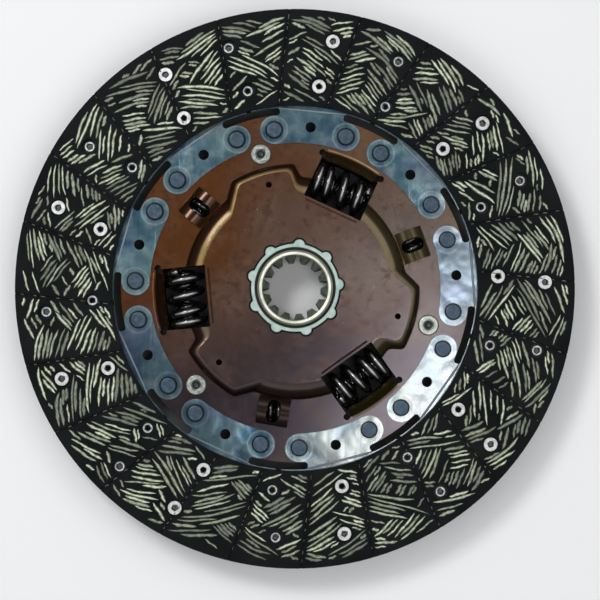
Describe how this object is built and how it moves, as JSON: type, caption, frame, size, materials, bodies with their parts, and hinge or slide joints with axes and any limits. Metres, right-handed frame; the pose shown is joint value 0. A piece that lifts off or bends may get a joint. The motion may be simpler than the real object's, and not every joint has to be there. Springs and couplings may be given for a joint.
{
  "type": "clutch disc",
  "caption": "Clutch driven disc: two grooved friction rings riveted to waved spring-steel segments on a lobed drive plate, with a splined hub sprung against it.",
  "frame": {"origin": "on the axis of the splined bore, midway between the two friction faces", "axes": "+Z along the bore axis, out of the side with the lobed plate; the hub's long end points to -Z; +X and +Y lie in the disc's plane"},
  "size_m": [0.275, 0.275, 0.03],
  "materials": {
    "facing": "moulded friction material with pale woven yarn, matt",
    "facing_rivet": "bright tubular rivets",
    "cushion_rivet": "dark blued steel",
    "plate": "brown, oiled, heat-treated sheet steel",
    "cushion_steel": "blue-grey tempered spring steel",
    "hub_steel": "machined, oiled",
    "bush": "pale grey-green, satin",
    "friction": "dark friction ring",
    "stop_pin": "turned, bright",
    "spring_steel": "black, glossy"
  },
  "bodies": {
    "disc": {"front_facing": "facing", "rear_facing": "facing", "facing_rivets_front": "facing_rivet", "facing_rivets_rear": "facing_rivet", "cushion_rivets": "cushion_rivet", "drive_plate": "plate", "rear_plate": "plate", "front_bush": "bush", "rear_bush": "bush", "front_friction_ring": "friction", "rear_friction_ring": "friction", "pressure_washer": "plate", "cone_spring": "cushion_steel", "cushion_segment_1": "cushion_steel", "cushion_segment_2": "cushion_steel", "cushion_segment_3": "cushion_steel", "cushion_segment_4": "cushion_steel", "cushion_segment_5": "cushion_steel", "cushion_segment_6": "cushion_steel", "cushion_segment_7": "cushion_steel", "cushion_segment_8": "cushion_steel", "cushion_segment_9": "cushion_steel", "stop_pin_1": "stop_pin", "stop_pin_2": "stop_pin", "stop_pin_3": "stop_pin", "main_spring_outer_1": "spring_steel", "main_spring_outer_2": "spring_steel", "main_spring_outer_3": "spring_steel", "main_spring_inner_1": "spring_steel", "main_spring_inner_2": "spring_steel", "main_spring_inner_3": "spring_steel", "small_spring_1": "spring_steel", "small_spring_2": "spring_steel", "small_spring_3": "spring_steel"},
    "hub": {"hub": "hub_steel"}
  },
  "joints": [
    {"name": "hub_twist", "type": "hinge", "parent": "disc", "child": "hub", "pos_m": [0, 0, 0], "axis": [0, 0, 1], "range_deg": [-8, 8], "stiffness_Nm_per_rad": 40, "deforming": ["main_spring_outer_1", "main_spring_outer_2", "main_spring_outer_3", "main_spring_inner_1", "main_spring_inner_2", "main_spring_inner_3", "small_spring_1", "small_spring_2", "small_spring_3"]}
  ]
}
